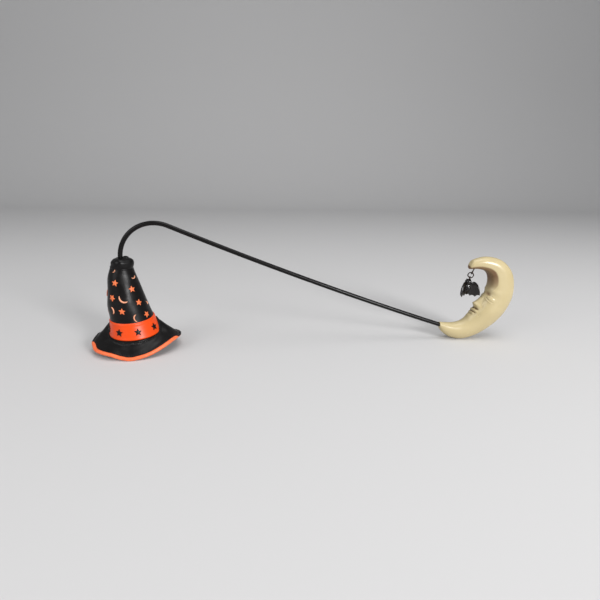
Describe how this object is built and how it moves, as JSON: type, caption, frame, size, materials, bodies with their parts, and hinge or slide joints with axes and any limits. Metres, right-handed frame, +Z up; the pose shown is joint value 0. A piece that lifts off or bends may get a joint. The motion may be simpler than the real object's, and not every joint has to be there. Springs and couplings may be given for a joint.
{
  "type": "candle snuffer",
  "caption": "Candle snuffer: a hollow hat-shaped bell on a bent rod, with a crescent moon as its handle and a small bat charm hanging from the moon's upper horn.",
  "frame": {"origin": "middle of the part's length and depth, on the surface that it stands on", "axes": "+X from the hat along the rod to the moon, +Z up; the rod lies in the plane Y = 0"},
  "size_m": [0.2978, 0.0476, 0.0859],
  "materials": {
    "hat_enamel": "gloss black enamel on a casting, with an orange band and hem",
    "rod_enamel": "gloss black enamel on steel rod",
    "moon_resin": "cream painted cast resin, lightly antiqued, varnished",
    "blackened_wire": "blackened steel wire",
    "bat_enamel": "gloss black enamel on a small casting"
  },
  "bodies": {
    "snuffer": {"rod": "rod_enamel", "hat": "hat_enamel", "moon": "moon_resin", "moon_eye": "blackened_wire"},
    "ring": {"jump_ring": "blackened_wire"},
    "charm": {"bat": "bat_enamel", "bat_eye": "blackened_wire"}
  },
  "joints": [
    {"name": "ring_swing", "type": "hinge", "parent": "snuffer", "child": "ring", "pos_m": [0.11569, 0.00005, 0.04996], "axis": [0.8517, -0.3971, -0.342], "range_deg": [-45, 45]},
    {"name": "bat_swing", "type": "hinge", "parent": "ring", "child": "charm", "pos_m": [0.11452, 0.0006, 0.04643], "axis": [0.8517, -0.3971, -0.342], "range_deg": [-50, 50]}
  ]
}
